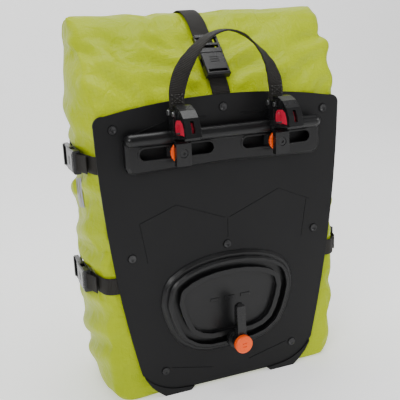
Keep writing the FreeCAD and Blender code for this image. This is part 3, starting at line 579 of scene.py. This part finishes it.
def lay_webbing(name, spine, across, width, thick, body):
    """A flat strap along a line of points, each with its own width direction."""
    under = [(-0.5, -0.12), (-0.47, -0.42), (-0.3, -0.5), (-0.1, -0.5), (0.1, -0.5), (0.3, -0.5), (0.47, -0.42),
             (0.5, -0.12)]
    profile = under + [(-a, -b) for a, b in under]
    ring = len(profile)
    points, faces, run, place = [], [], 0.0, []
    for i, p in enumerate(spine):
        along = (spine[min(i + 1, len(spine) - 1)] - spine[max(i - 1, 0)]).normalized()
        wide = (across[i] - along * across[i].dot(along)).normalized()
        out = along.cross(wide)
        if i:
            run += (p - spine[i - 1]).length
        w = width[i] if isinstance(width, list) else width
        for a, b in profile:
            points.append(p + wide * a * w + out * b * thick)
            place.append((run, a * w))
    for i in range(len(spine) - 1):
        for k in range(ring):
            m = (k + 1) % ring
            faces.append((i * ring + k, i * ring + m, (i + 1) * ring + m, (i + 1) * ring + k))
    faces.append(tuple(range(ring))[::-1])
    faces.append(tuple((len(spine) - 1) * ring + k for k in range(ring)))
    mesh = bpy.data.meshes.new(name)
    mesh.from_pydata(points, [], faces)
    layer = mesh.uv_layers.new(name="strap")
    for n, loop in enumerate(mesh.loops):
        layer.data[n].uv = place[loop.vertex_index]
    mesh.shade_smooth()
    mesh.materials.append(black_webbing)
    piece = add_object(name, mesh)
    if body:
        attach(piece, body)
    return piece


def smooth_line(points, step):
    """Evenly spaced points on a smooth curve through the given ones."""
    fine = []
    for i in range(len(points) - 1):
        p0, p1, p2, p3 = points[max(i - 1, 0)], points[i], points[i + 1], points[min(i + 2, len(points) - 1)]
        for k in range(24):
            t = k / 24
            fine.append(0.5 * ((2 * p1) + (p2 - p0) * t + (2 * p0 - 5 * p1 + 4 * p2 - p3) * t * t
                               + (3 * p1 - p0 - 3 * p2 + p3) * t ** 3))
    fine.append(points[-1].copy())
    out, left = [fine[0]], 0.0
    for a, b in zip(fine[:-1], fine[1:]):
        left += (b - a).length
        if left >= step:
            out.append(b)
            left = 0.0
    if (out[-1] - fine[-1]).length > step * 0.3:
        out.append(fine[-1])
    return out


# Carry handle.
# One length of the webbing from hook to hook. Each end is folded round a pin on the lever and sewn; each leg
# makes a quarter turn, so that the top of the arch lies flat in the hand.
pin_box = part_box("webbing_pin_left")
PIN_Y = (pin_box[0].y + pin_box[1].y) / 2
PIN_Z = (pin_box[0].z + pin_box[1].z) / 2
# x, z and the turn of the webbing in degrees, from the left pin to the top of the arch
handle_path = [(-0.0600, 0.3515, 0), (-0.0602, 0.3600, 0), (-0.0586, 0.3720, 6), (-0.0545, 0.3850, 24),
               (-0.0480, 0.3970, 46), (-0.0395, 0.4080, 64), (-0.0300, 0.4175, 78), (-0.0195, 0.4250, 86),
               (-0.0090, 0.4290, 89), (0.0, 0.4302, 90)]
handle_path += [(-x, z, t) for x, z, t in handle_path[-2::-1]]
spine = smooth_line([Vector((x, PIN_Y, z)) for x, z, t in handle_path], 0.002)
lengths = [0.0]
for a, b in zip(spine[:-1], spine[1:]):
    lengths.append(lengths[-1] + (b - a).length)
knots = [0.0]
for a, b in zip(handle_path[:-1], handle_path[1:]):
    knots.append(knots[-1] + math.hypot(b[0] - a[0], b[1] - a[1]))
across = []
for i, p in enumerate(spine):
    along = (spine[min(i + 1, len(spine) - 1)] - spine[max(i - 1, 0)]).normalized()
    flat = along.cross(Vector((0, 1, 0)))
    s = lengths[i] / lengths[-1] * knots[-1]
    k = max(n for n in range(len(knots) - 1) if knots[n] <= s + 1e-9)
    t = (s - knots[k]) / (knots[k + 1] - knots[k])
    t = t * t * (3 - 2 * t)
    angle = math.radians(handle_path[k][2] + (handle_path[k + 1][2] - handle_path[k][2]) * t)
    across.append(flat * math.cos(angle) + Vector((0, 1, 0)) * math.sin(angle))
width = [LEG_WIDTH + 0.0018 * min(1.0, max(0.0, (p.z - 0.356) / 0.012)) for p in spine]
carry_webbing = lay_webbing("carry_webbing", spine, across, width, 0.0021, None)
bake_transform(carry_webbing)
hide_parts("carry_handle")
PIN_X, WRAP = 0.06, 0.0034
turn_angles = [math.pi - 0.35 + i * (math.pi + 0.7) / 18 for i in range(19)]
for side, sign in (("left", -1), ("right", 1)):
    loop_line = [Vector((sign * PIN_X, PIN_Y - 0.0011, 0.3640 - i * 0.0016)) for i in range(6)]
    loop_line += [Vector((sign * PIN_X, PIN_Y + WRAP * math.cos(a), PIN_Z + WRAP * math.sin(a))) for a in turn_angles]
    loop_line += [Vector((sign * PIN_X, PIN_Y + 0.0011 + 0.0003 * i, PIN_Z + 0.0055 + i * 0.0016)) for i in range(5)]
    end_loop = lay_webbing("handle_end_" + side, loop_line, [Vector((1, 0, 0))] * len(loop_line), LEG_WIDTH,
                           0.0018, "handle_loops")
    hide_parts("handle_end_loops")

# Side straps.
# Two compression straps on each side. A short stub comes from behind the plate to the socket; the long part runs
# from under the prong half round the front corner and is sewn to the front.
for side, sign in (("left", -1), ("right", 1)):
    for level_name, z in (("upper", SIDE_STRAP_Z[0]), ("lower", SIDE_STRAP_Z[1])):
        strap_name = level_name + "_" + side
        plan = bag_outline(*level_at(z), grow=0.0018)
        line = [Vector((x * sign, y + PLATE, z)) for x, y in plan[:front_middle + 1]]
        stub = [p for i, p in enumerate(line) if abs(p.x) > 0.128 and p.y - PLATE < 0.032 and i < 50]
        stub = [Vector((sign * 0.130, PLATE + 0.0016, z))] + stub[1:]
        tip = stub[-1].x
        # through the socket's eye and back on itself
        for outwards, depth in ((0.0012, 0.0350), (0.0032, 0.0388), (0.0075, 0.0375), (0.0083, 0.0330),
                                (0.0040, 0.0240), (0.0012, 0.0150)):
            stub.append(Vector((tip + sign * outwards, PLATE + depth, z)))
        stub = smooth_line(stub, 0.002)
        piece = lay_webbing("side_stub_" + strap_name, stub, [Vector((0, 0, 1))] * len(stub), SIDE_WIDTH, 0.0014,
                            "bag")
        long_line = smooth_line([p for p in line if p.y - PLATE > 0.062 and abs(p.x) > 0.058], 0.003)
        lay_webbing("side_webbing_" + strap_name, long_line, [Vector((0, 0, 1))] * len(long_line), SIDE_WIDTH,
                    0.0015, "bag")
        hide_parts("side_strap_" + strap_name)

# Top strap.
# It starts behind the plate's top edge, passes the buckle on the slope, goes over the roll and is sewn to the front.
# y counted from the plate's face, and z
top_low = [(0.0036, 0.3560), (0.0042, 0.3610), (0.0065, 0.3655), (0.0097, 0.3702), (0.0130, 0.3750),
           (0.0153, 0.3782), (0.0150, 0.3803), (0.0120, 0.3832), (0.0088, 0.3842)]
low_line = smooth_line([Vector((0, y + PLATE, z)) for y, z in top_low], 0.002)
top_lower = lay_webbing("top_strap_low", low_line, [Vector((1, 0, 0))] * len(low_line), TOP_WIDTH, 0.0016, "bag")
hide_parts("top_strap_lower")
top_high = [(0.0360, 0.4000), (0.0480, 0.4124), (0.0600, 0.4248), (0.0700, 0.4350), (0.0810, 0.4425),
            (0.0945, 0.4485), (0.1080, 0.4503), (0.1215, 0.4475), (0.1345, 0.4385), (0.1440, 0.4270),
            (0.1455, 0.4150), (0.1470, 0.4050), (0.1505, 0.3920), (0.1540, 0.3750), (0.1570, 0.3550),
            (0.1575, 0.3350), (0.1575, 0.3000)]
high_line = smooth_line([Vector((0, y + PLATE, z)) for y, z in top_high], 0.003)
top_upper = lay_webbing("top_strap_high", high_line, [Vector((1, 0, 0))] * len(high_line), TOP_WIDTH, 0.0016,
                        "bag")
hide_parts("top_strap_upper")

# Sewing.
# Polyester thread: every strap end is turned under and sewn down with a box of short stitches.


def thread_tree(mat):
    """Short stitches set one behind another along a polyline."""
    group = bpy.data.node_groups.new("stitch_rows", "GeometryNodeTree")
    group.interface.new_socket("Rows", in_out="INPUT", socket_type="NodeSocketGeometry")
    for label, value in (("Pitch", 0.0032), ("Stitch length", 0.0024), ("Thread radius", 0.00032)):
        group.interface.new_socket(label, in_out="INPUT", socket_type="NodeSocketFloat").default_value = value
    group.interface.new_socket("Stitches", in_out="OUTPUT", socket_type="NodeSocketGeometry")
    start = group.nodes.new("NodeGroupInput")
    end = group.nodes.new("NodeGroupOutput")
    curve = group.nodes.new("GeometryNodeMeshToCurve")
    even = group.nodes.new("GeometryNodeResampleCurve")
    even.mode = "LENGTH"
    stitch = group.nodes.new("GeometryNodeMeshCylinder")
    stitch.inputs["Vertices"].default_value = 6
    aim = group.nodes.new("FunctionNodeAlignRotationToVector")
    aim.axis = "Z"
    tangent = group.nodes.new("GeometryNodeInputTangent")
    set_out = group.nodes.new("GeometryNodeInstanceOnPoints")
    real = group.nodes.new("GeometryNodeRealizeInstances")
    paint = group.nodes.new("GeometryNodeSetMaterial")
    paint.inputs["Material"].default_value = mat
    link = group.links.new
    link(start.outputs["Rows"], curve.inputs["Mesh"])
    link(curve.outputs["Curve"], even.inputs["Curve"])
    link(start.outputs["Pitch"], even.inputs["Length"])
    link(start.outputs["Stitch length"], stitch.inputs["Depth"])
    link(start.outputs["Thread radius"], stitch.inputs["Radius"])
    link(tangent.outputs["Tangent"], aim.inputs["Vector"])
    link(even.outputs["Curve"], set_out.inputs["Points"])
    link(stitch.outputs["Mesh"], set_out.inputs["Instance"])
    link(aim.outputs["Rotation"], set_out.inputs["Rotation"])
    link(set_out.outputs["Instances"], real.inputs["Geometry"])
    link(real.outputs["Geometry"], paint.inputs["Geometry"])
    link(paint.outputs["Geometry"], end.inputs["Stitches"])
    return group


thread_grey = moulded_plastic("thread_grey", (0.045, 0.043, 0.040), (0.075, 0.072, 0.068),
                              0.6, 0.0001, 3000.0)
stitch_rows = thread_tree(thread_grey)


def sew(name, rows, body):
    """Stitches along rows of points, as one piece that rides with the strap."""
    points, edges = [], []
    for row in rows:
        base = len(points)
        points += row
        edges += [(base + i, base + i + 1) for i in range(len(row) - 1)]
    mesh = bpy.data.meshes.new(name + "_rows")
    mesh.from_pydata(points, edges, [])
    rows_object = add_object(name + "_rows", mesh)
    rows_object.modifiers.new("stitches", "NODES").node_group = stitch_rows
    bpy.context.view_layer.update()
    sewn = bpy.data.meshes.new_from_object(rows_object.evaluated_get(bpy.context.evaluated_depsgraph_get()))
    bpy.data.objects.remove(rows_object)
    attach(add_object(name, sewn), body)


def box_rows(line, wide_dir, half):
    """A sewn box along a line of points on a strap's face, with its cross."""
    a, b = line[0], line[-1]
    left = [p + wide_dir * half for p in line]
    right = [p - wide_dir * half for p in line]
    cross = [[a + wide_dir * way * half * (1 - 2 * i / 8) + (b - a) * i / 8 for i in range(9)] for way in (1, -1)]
    return [left, right, [left[0], right[0]], [left[-1], right[-1]]] + cross


for side, sign in (("left", -1), ("right", 1)):
    rows = []
    for z in SIDE_STRAP_Z:
        plan = bag_outline(*level_at(z), grow=0.0028)
        front_end = [Vector((x * sign, y + PLATE, z)) for x, y in plan[:front_middle + 1]
                     if y > 0.1 and 0.060 < abs(x) < 0.080]
        rows += box_rows(front_end, Vector((0, 0, 1)), 0.0075)
    sew("side_stitching_" + side, rows, "bag")
    leg = [Vector((sign * 0.0602, PIN_Y - 0.0024, 0.3572 + i * 0.0012)) for i in range(8)]
    sew("handle_stitching_" + side, box_rows(leg, Vector((1, 0, 0)), 0.0058), "handle_loops")
top_end = [Vector((0, PLATE + 0.1589, 0.303 + i * 0.004)) for i in range(6)]
sew("top_stitching", box_rows(top_end, Vector((1, 0, 0)), 0.0085), "bag")

# Buckles.
# Side-release buckles of black acetal, smoother and glossier than the plate.
buckle_black = moulded_plastic("buckle_black", (0.006, 0.006, 0.0065), (0.010, 0.010, 0.011),
                               0.26, 0.0008, 3000.0, 0.4)
for node in nodes:
    if "buckle" in node:
        finish_node(node, buckle_black)

# Reflective patches.
# Grey reflective film, three plain bars on each side, pressed onto the fabric.
film = moulded_plastic("reflective_film", (0.20, 0.19, 0.21), (0.27, 0.26, 0.29),
                       0.35, 0.0002, 5000.0, metal=0.35)
BARS, LONG, WIDE = 3, 19, 5  # bars, and points along and across each
bpy.context.view_layer.update()
skin_tree = BVHTree.FromObject(bag_skin, bpy.context.evaluated_depsgraph_get())
for side, sign in (("left", -1), ("right", 1)):
    patch_verts, patch_faces = [], []
    for bar in range(BARS):
        base = len(patch_verts)
        for r in range(LONG):
            for c in range(WIDE):
                y = PLATE + 0.049 + bar * 0.0095 + c * 0.0016
                cut_corner = 0.0012 if c in (0, WIDE - 1) else 0
                ends = (cut_corner if r == 0 else 0) - (cut_corner if r == LONG - 1 else 0)
                z = 0.236 + r * 0.002 - bar * 0.002 + ends
                hit = skin_tree.ray_cast(Vector((sign * 0.25, y, z)), Vector((-sign, 0, 0)))
                patch_verts.append(hit[0] + Vector((sign * 0.0011, 0, 0)))
        for r in range(LONG - 1):
            for c in range(WIDE - 1):
                a = base + r * WIDE + c
                quad = (a, a + 1, a + WIDE + 1, a + WIDE)
                patch_faces.append(quad if sign > 0 else quad[::-1])
    patch_mesh = bpy.data.meshes.new("reflective_bars_" + side)
    patch_mesh.from_pydata(patch_verts, [], patch_faces)
    patch_mesh.shade_smooth()
    patch_mesh.materials.append(film)
    patch = add_object("reflective_bars_" + side, patch_mesh)
    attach(patch, "bag")
    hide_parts("reflector_" + side)

bpy.context.view_layer.update()
